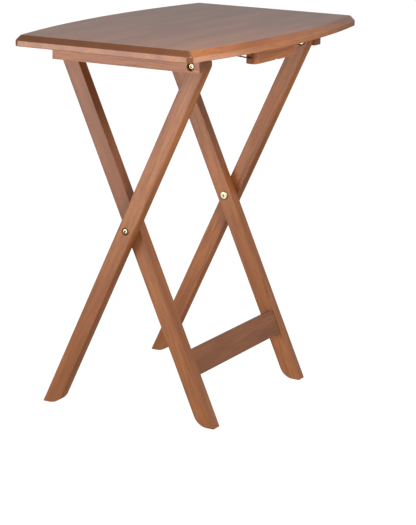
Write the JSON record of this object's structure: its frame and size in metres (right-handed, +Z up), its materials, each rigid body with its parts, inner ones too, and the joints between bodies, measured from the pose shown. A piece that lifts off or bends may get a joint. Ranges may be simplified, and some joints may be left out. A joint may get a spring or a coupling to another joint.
{
  "type": "folding tray table",
  "caption": "Folding wooden tray table: a bow-sided top on crossed flat legs that fold flat, with a lower stretcher and a wire catch bail.",
  "frame": {"origin": "on the floor, under the middle of the tabletop", "axes": "+Z up, +X along the long side of the top, -Y towards the person who sits at the table"},
  "size_m": [0.6, 0.3818, 0.643],
  "materials": {
    "top_wood": "stained, satin lacquer",
    "frame_wood": "stained, satin lacquer",
    "leg_wood": "stained, satin lacquer",
    "dowel_wood": "raw beech",
    "brass": "plated, bright",
    "screw_steel": "yellow zinc plated",
    "wire_steel": "dark bronze plated"
  },
  "bodies": {
    "outer_frame": {"outer_leg_left": "leg_wood", "outer_leg_right": "leg_wood", "pivot_bolt_left": "brass", "pivot_bolt_right": "brass", "pivot_nut_left": "brass", "pivot_nut_right": "brass", "pivot_washers": "brass", "hinge_washers": "brass"},
    "inner_frame": {"inner_leg_left": "leg_wood", "inner_leg_right": "leg_wood", "lower_stretcher": "leg_wood", "stretcher_dowels": "dowel_wood", "upper_rail": "leg_wood"},
    "top": {"tabletop": "top_wood", "batten_left": "frame_wood", "batten_right": "frame_wood", "batten_screws": "screw_steel", "front_block": "frame_wood", "block_screws": "screw_steel", "hinge_bolt_left": "brass", "hinge_bolt_right": "brass", "hinge_nut_left": "brass", "hinge_nut_right": "brass"},
    "bail": {"catch_bail": "wire_steel"}
  },
  "joints": [
    {"name": "leg_scissor", "type": "hinge", "parent": "outer_frame", "child": "inner_frame", "pos_m": [0, 0.015, 0.32], "axis": [1, 0, 0], "range_deg": [-131, 46]},
    {"name": "top_tilt", "type": "hinge", "parent": "outer_frame", "child": "top", "pos_m": [0, -0.11579, 0.607], "axis": [1, 0, 0], "range_deg": [-65.5, 23]},
    {"name": "bail_swing", "type": "hinge", "parent": "top", "child": "bail", "pos_m": [0, -0.146, 0.6075], "axis": [1, 0, 0], "range_deg": [-95, 0]}
  ],
  "couplings": [
    {"joint": "top_tilt", "follows": "leg_scissor", "ratio": 0.5}
  ]
}
